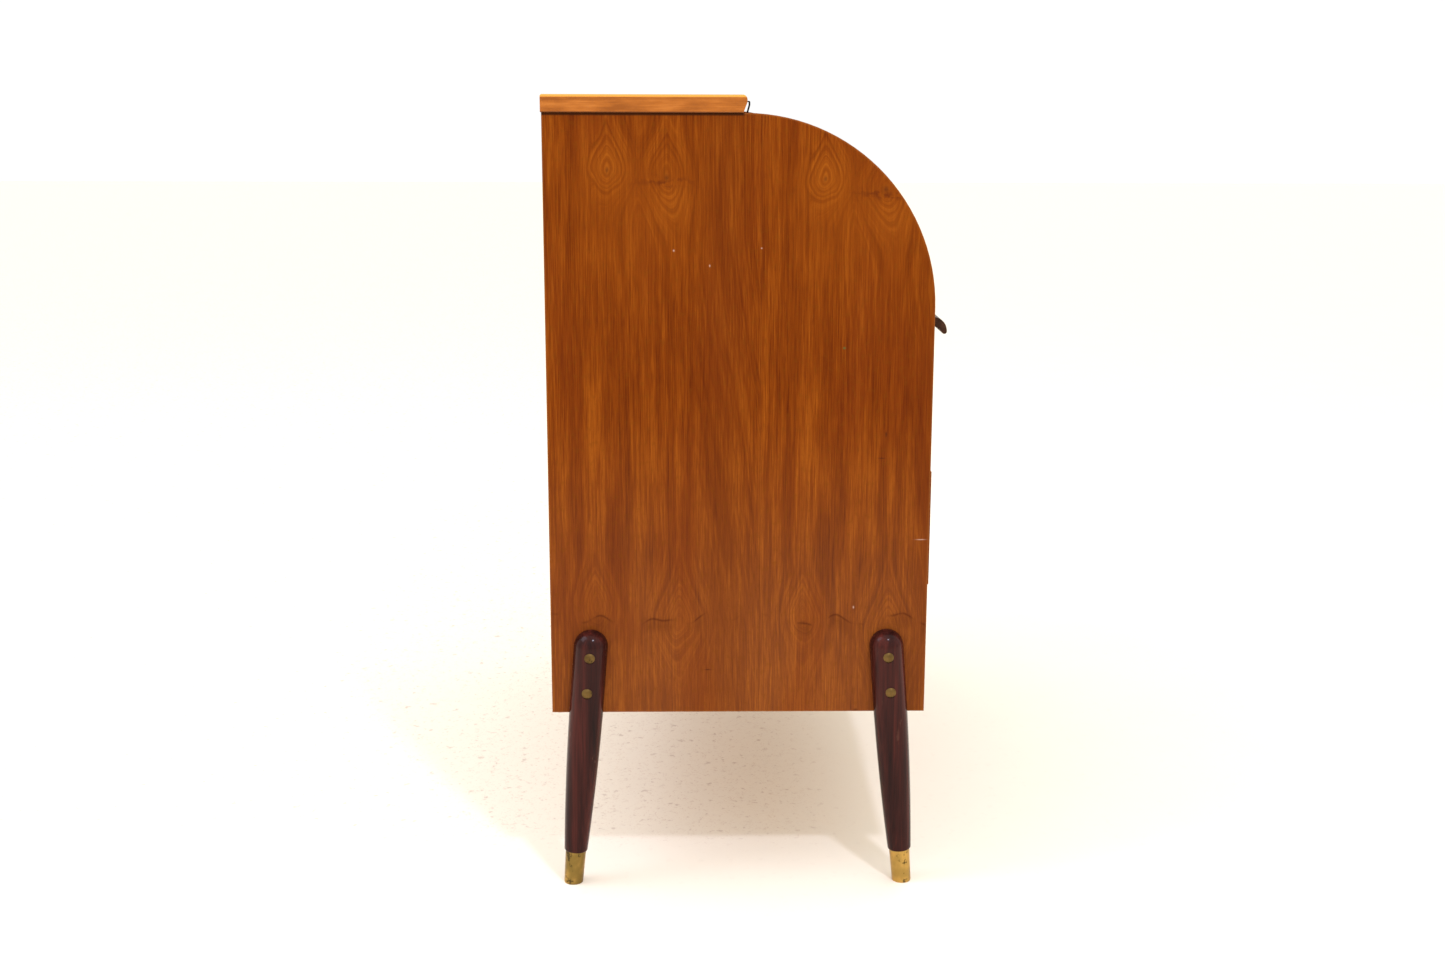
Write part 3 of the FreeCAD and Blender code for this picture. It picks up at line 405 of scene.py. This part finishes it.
def board_teak(name, tones, eyes, pitch, seed):
    """Flat-cut teak on a flat board, grain along X, its figure repeated at a pitch up the front."""
    paint = Paint(name)
    along = paint.x
    across = paint.z + paint.y
    sway = paint.noise(along * 2.4, across * 5.0, seed) - 0.5
    place = (across + seed * 0.37) % pitch + sway * 0.02
    rings = merged(paint, [eye(paint, place, along, *centre, 0.03, 0.11, 0.13) for centre in eyes])
    lines, pores = grain(paint, across, along, paint.y)
    colour, tone = teak_colour(paint, rings, along, tones, lines, pores, seed)
    rough = tone * 0.10 + pores * 0.12 + 0.40
    return paint.finish(colour, rough, lines * 0.5 - pores * 0.7, Specular_IOR_Level=0.10)


def top_teak():
    """The top board: long grain on top, and paler solid edging whose grain runs round the edge; the
    edging carries a painted highlight along its top and painted shade along its bottom.
    """
    paint = Paint("top_teak")
    on_end = paint.step(paint.math("ABSOLUTE", paint.facing[0]), 0.55, 0.75)
    on_edge = paint.step(paint.facing[2], 0.98, 0.90)
    sway = paint.noise(paint.x * 2.0, paint.y * 6.0, 4.0) - 0.5
    place = back_y - paint.y + sway * 0.02
    rings = merged(paint, [eye(paint, place, paint.x, *centre, 0.04, 0.14, 0.16) for centre in TOP_EYES])
    lines, pores = grain(paint, paint.y, paint.x, paint.z)
    colour, tone = teak_colour(paint, rings, paint.x, TEAK_INSIDE, lines, pores, 3.0)
    edge_lines, edge_pores = grain(paint, paint.z, paint.y, paint.x)
    long_lines, long_pores = grain(paint, paint.z, paint.x, paint.y)
    edge_lines = edge_lines * on_end + long_lines * (1.0 - on_end)
    edge_pores = edge_pores * on_end + long_pores * (1.0 - on_end)
    band = paint.noise(paint.z * 130.0, paint.y * 3.0, paint.x * 3.0, detail=2.0) - 0.5
    cloud = paint.noise(paint.y * 34.0, paint.z * 150.0, paint.x * 34.0, detail=3.0) - 0.5
    edge_tone = edge_lines * 1.0 + band * 1.1 + cloud * 1.2 + 0.5
    dark, middle, light = TEAK_EDGING
    edging = paint.ramp(edge_tone, (0.18, dark), (0.5, middle), (0.82, light))
    edging = paint.blend(edge_pores * 0.22, edging, dark)
    # Painted highlight: edging faces that tilt upward, and a strip along the top of each end, are made
    # much lighter, as if catching the light.
    arris = paint.step(paint.facing[2], 0.12, 0.45)
    brightening = paint.step(paint.z, top_high.z - 0.0036, top_high.z - 0.0024) * on_end
    edging = paint.blend(paint.math("MAXIMUM", arris, brightening) * 0.90, edging, PAINTED_ARRIS_HIGHLIGHT)
    # Painted shade: the lowest millimetre or two of the edging is darkened.
    lower_edge_shade = paint.step(paint.z, top_low.z + 0.0019, top_low.z + 0.0007)
    edging = paint.blend(lower_edge_shade * 0.80, edging, PAINTED_LOWER_EDGE_SHADE)
    colour = paint.blend(on_edge, colour, edging)
    return paint.finish(colour, tone * 0.08 + 0.32, lines * 0.5 - pores * 0.6, Specular_IOR_Level=0.22)


def lid_teak():
    """The lid: teak with its grain along X, laid round the curve."""
    paint = Paint("lid_teak")
    angle = paint.math("ARCTAN2", paint.z - axis_z, axis_y - paint.y)
    around = angle * lid_radius
    sway = paint.noise(paint.x * 2.2, around * 5.0, 8.0) - 0.5
    place = (around + 0.02) % LID_PITCH + sway * 0.025
    rings = merged(paint, [eye(paint, place, paint.x, *centre, 0.03, 0.12, 0.14) for centre in LID_EYES])
    through = paint.math("SQRT", paint.y * paint.y + paint.z * paint.z)
    lines, pores = grain(paint, around, paint.x, through)
    colour, tone = teak_colour(paint, rings, paint.x, TEAK, lines, pores, 5.0)
    rough = tone * 0.1 + pores * 0.12 + 0.38
    return paint.finish(colour, rough, lines * 0.5 - pores * 0.7, Specular_IOR_Level=0.10)


def plain_wood(name, tones, rough=0.55, fine=1.0):
    """Beech, ply and other plain timber: quiet grain along X."""
    paint = Paint(name)
    bands = paint.noise(paint.x * 3.0, paint.y * 14.0 * fine, paint.z * 26.0 * fine, detail=3.0)
    lines = paint.noise(paint.x * 9.0, paint.y * 160.0, paint.z * 420.0, detail=2.0) - 0.5
    tone = (bands - 0.5) * 0.7 + lines * 0.8 + 0.5
    dark, middle, light = tones
    colour = paint.ramp(tone, (0.15, dark), (0.5, middle), (0.85, light))
    return paint.finish(colour, lines * 0.1 + rough, lines, Specular_IOR_Level=0.3)


def dark_lacquer():
    """The legs: reddish-black stained wood under a glossy lacquer with light wear."""
    paint = Paint("dark_lacquer")
    streaks = paint.noise(paint.x * 75.0, paint.y * 75.0, paint.z * 4.0, detail=3.0, rough=0.6)
    fine = paint.noise(paint.x * 700.0, paint.y * 700.0, paint.z * 14.0, detail=1.0) - 0.5
    tone = (streaks - 0.5) * 1.5 + fine * 0.35 + 0.5
    dark, middle, light = LACQUER
    colour = paint.ramp(tone, (0.15, dark), (0.5, middle), (0.85, light))
    wear = paint.noise(paint.x * 60.0, paint.y * 60.0, paint.z * 22.0, detail=4.0)
    scuffs = paint.step(wear, 0.66, 0.74)
    colour = paint.blend(scuffs * 0.35, colour, SCUFF)
    rough = scuffs * 0.25 + streaks * 0.10 + 0.12
    relief = fine * 0.5 + scuffs * -0.3
    return paint.finish(colour, rough, relief, depth=0.0001, Specular_IOR_Level=0.13)


def dark_oiled():
    """The lip handle and pulls: dark brown oiled wood, grain along X."""
    paint = Paint("dark_oiled")
    lines, pores = grain(paint, paint.z, paint.x, paint.y)
    bands = paint.noise(paint.z * 60.0, paint.x * 2.0, paint.y * 60.0) - 0.5
    tone = lines * 0.7 + bands + 0.5
    dark, middle, light = OILED
    colour = paint.ramp(tone, (0.15, dark), (0.5, middle), (0.85, light))
    colour = paint.blend(pores * 0.5, colour, OILED_PORE)
    return paint.finish(colour, pores * 0.15 + 0.36, lines - pores, Specular_IOR_Level=0.08)


# ---- Metal ----------------------------------------------------------------------------------

FERRULE_TONES = ((0.230, 0.150, 0.040), (0.470, 0.285, 0.075))
SCREW_TONES = ((0.105, 0.062, 0.020), (0.168, 0.102, 0.034))
FRONT_BRASS = (0.78, 0.47, 0.125)
TARNISH = (0.060, 0.042, 0.018)
RUST = (0.09, 0.058, 0.030)


def brass(name, tones, tarnish, shine, brightening=0.0):
    """Old brass: warm metal, dulled in clouds, with ragged dark tarnish; brighter and less tarnished
    towards the front, more tarnished towards the back.
    """
    paint = Paint(name)
    clouds = paint.noise(paint.x * 55.0, paint.y * 55.0, paint.z * 40.0, detail=3.0)
    ragged = paint.noise(paint.x * 95.0 + 4.0, paint.y * 95.0, paint.z * 60.0, detail=5.0, rough=0.68)
    specks = paint.noise(paint.x * 520.0, paint.y * 520.0, paint.z * 520.0, detail=3.0)
    # Towards the front the brass is lightened and kept cleaner; towards the back it gets more tarnish.
    front = paint.step(paint.y, 0.05, -0.05)
    ragged = ragged + (specks - 0.5) * 0.30 - (front - 0.5) * brightening * 0.12
    dirt = paint.step(ragged, 0.66 - tarnish, 0.74 - tarnish)
    turned = paint.noise(paint.x * 30.0, paint.y * 30.0, paint.z * 1800.0, detail=1.0) - 0.5
    dull, bright = tones
    colour = paint.blend(paint.step(clouds, 0.35, 0.65), dull, bright)
    colour = paint.blend(front * brightening, colour, FRONT_BRASS)
    colour = paint.blend(dirt * 0.80, colour, TARNISH)
    rough = dirt * 0.30 + (specks - 0.5) * 0.14 + shine
    return paint.finish(colour, rough, turned * 0.4 + specks * 0.5, depth=0.00006, Metallic=1.0)


def steel(name, tone, shine):
    """Grey steel with a little rust, scratched along X."""
    paint = Paint(name)
    cloud = paint.noise(paint.x * 160.0, paint.y * 160.0, paint.z * 160.0, detail=4.0)
    scratch = paint.noise(paint.x * 60.0, paint.y * 1400.0, paint.z * 1400.0, detail=1.0) - 0.5
    rust = paint.step(cloud, 0.60, 0.78)
    colour = paint.blend(rust * 0.7, (tone, tone * 0.97, tone * 0.90), RUST)
    rough = rust * 0.3 + scratch * 0.1 + shine
    return paint.finish(colour, rough, scratch, depth=0.00005, Metallic=1.0)


# ---- Materials on the CAD nodes -------------------------------------------------------------

BY_SLOT = {
    "side_veneer": side_teak(),
    "top_veneer": top_teak(),
    "lid_veneer": lid_teak(),
    "front_veneer": board_teak("front_teak", TEAK, FRONT_EYES, FRONT_PITCH, 2.0),
    "leaf_veneer": board_teak("leaf_teak", TEAK_INSIDE, LEAF_EYES, LEAF_PITCH, 4.0),
    "inner_wood": plain_wood("inner_teak", TEAK_INSIDE, 0.45),
    "light_wood": plain_wood("beech", BEECH),
    "plain_ply": plain_wood("ply", PLY, 0.6, 2.0),
    "dark_wood": dark_lacquer(),
    "dark_lip": dark_oiled(),
    "aged_brass": brass("ferrule_brass", FERRULE_TONES, 0.09, 0.34, 0.30),
    "brass_fittings": brass("screw_brass", SCREW_TONES, 0.05, 0.42),
    "spring_steel": steel("spring_steel", 0.015, 0.45),
    "screw_steel": steel("screw_steel", 0.46, 0.38),
}

for part in frame["record"]["subparts"]:
    item = frame["nodes"][part["node"]]
    item.data.materials.clear()
    item.data.materials.append(BY_SLOT[part["material_slot"]])

# ---- Floor, light and camera ----------------------------------------------------------------

FLOOR_TONES = ((0.95, 0.89, 0.77), (0.98, 0.94, 0.83))
FLOOR_SPECK = (0.55, 0.45, 0.38)
FLOOR_DUST = (0.60, 0.47, 0.38)
FLOOR_SIZE = 40.0
DAYLIGHT = (1.0, 1.02, 1.25)
SKY_TINT = (1.0, 0.975, 0.930, 1.0)
WHITE = (1.0, 1.0, 1.0, 1.0)
SKY_LOW, SKY_HIGH, SKY_SEEN = 0.95, 1.45, 1.02
LAMP_AWAY = 3.2


def floor():
    """A pale floor, with dust and specks under and behind the desk."""
    paint = Paint("pale_floor")
    mottle = paint.noise(paint.x * 9.0, paint.y * 9.0, 0.0, detail=4.0) - 0.5
    specks = paint.noise(paint.x * 75.0, paint.y * 75.0, 3.0, detail=3.0)
    colour = paint.blend(mottle * 0.4 + 0.5, *FLOOR_TONES)
    marks = paint.noise(paint.x * 150.0, paint.y * 150.0, 8.0, detail=4.0, rough=0.7, bend=1.5)
    dusty = paint.step(paint.x, -0.38, -0.26) * paint.step(paint.y, -0.18, -0.04)
    colour = paint.blend(paint.step(specks, 0.60, 0.72) * (dusty * 0.45 + 0.06), colour, FLOOR_SPECK)
    colour = paint.blend(paint.step(marks, 0.54, 0.68) * dusty * 0.45, colour, FLOOR_DUST)
    material = paint.finish(colour, 0.75, Specular_IOR_Level=0.2)
    bpy.ops.mesh.primitive_plane_add(size=FLOOR_SIZE, location=(0.0, 0.0, 0.0))
    ground = bpy.context.object
    ground.name = "floor"
    ground.data.materials.append(material)


def lamp(name, toward, size, watts, target):
    """A square soft light that shines at the target from a direction."""
    data = bpy.data.lights.new(name, "AREA")
    data.size = size
    data.energy = watts
    data.color = DAYLIGHT
    item = bpy.data.objects.new(name, data)
    bpy.context.scene.collection.objects.link(item)
    direction = Vector(toward).normalized()
    item.location = Vector(target) + direction * LAMP_AWAY
    item.rotation_euler = direction.to_track_quat("Z", "Y").to_euler()


def world():
    """White to the camera, and a soft warm sky that is bright overhead and dim near the horizon."""
    sky = bpy.data.worlds.new("studio")
    bpy.context.scene.world = sky
    sky.use_nodes = True
    tree = sky.node_tree
    tree.nodes.clear()
    place = tree.nodes.new("ShaderNodeTexCoord")
    parts = tree.nodes.new("ShaderNodeSeparateXYZ")
    height = tree.nodes.new("ShaderNodeMapRange")
    seen = tree.nodes.new("ShaderNodeLightPath")
    pick = tree.nodes.new("ShaderNodeMix")
    tint = tree.nodes.new("ShaderNodeMix")
    tint.data_type = "RGBA"
    tint.inputs["A"].default_value = SKY_TINT
    tint.inputs["B"].default_value = WHITE
    glow = tree.nodes.new("ShaderNodeBackground")
    out = tree.nodes.new("ShaderNodeOutputWorld")
    tree.links.new(place.outputs["Generated"], parts.inputs[0])
    tree.links.new(parts.outputs["Z"], height.inputs["Value"])
    height.inputs["To Min"].default_value = SKY_LOW
    height.inputs["To Max"].default_value = SKY_HIGH
    tree.links.new(seen.outputs["Is Camera Ray"], pick.inputs["Factor"])
    tree.links.new(seen.outputs["Is Camera Ray"], tint.inputs["Factor"])
    tree.links.new(tint.outputs["Result"], glow.inputs["Color"])
    tree.links.new(height.outputs["Result"], pick.inputs["A"])
    pick.inputs["B"].default_value = SKY_SEEN
    tree.links.new(pick.outputs["Result"], glow.inputs["Strength"])
    tree.links.new(glow.outputs[0], out.inputs[0])


def camera():
    """Looks at the left side from a little above its top, turned slightly towards the front."""
    stand_off, from_back, above_bottom = 2.0627, 0.1731, 0.7500
    down, turn, roll = math.radians(12.222), math.radians(1.134), math.radians(-0.160)
    data = bpy.data.cameras.new("camera")
    data.sensor_width = 36.0
    data.lens = 42.85
    data.clip_start = 0.05
    item = bpy.data.objects.new("camera", data)
    bpy.context.scene.collection.objects.link(item)
    right = Vector((-math.sin(turn), -math.cos(turn), 0.0))
    level = math.cos(down)
    ahead = Vector((math.cos(turn) * level, -math.sin(turn) * level, -math.sin(down)))
    up = right.cross(ahead)
    tilt = Matrix.Rotation(roll, 3, ahead)
    axes = Matrix((tilt @ right, tilt @ up, tilt @ -ahead)).transposed()
    place = Vector((side_face - stand_off, back_y - from_back, side_bottom + above_bottom))
    item.matrix_world = Matrix.Translation(place) @ axes.to_4x4()
    bpy.context.scene.camera = item


floor()
world()
lamp("key", (-0.610, -0.185, 0.771), 0.16, 22.0, (0.0, 0.0, 0.3))
lamp("fill", (-0.150, 0.520, 0.840), 1.60, 26.0, (-0.2, 0.6, 0.0))
camera()
bpy.context.scene.view_settings.view_transform = "Standard"
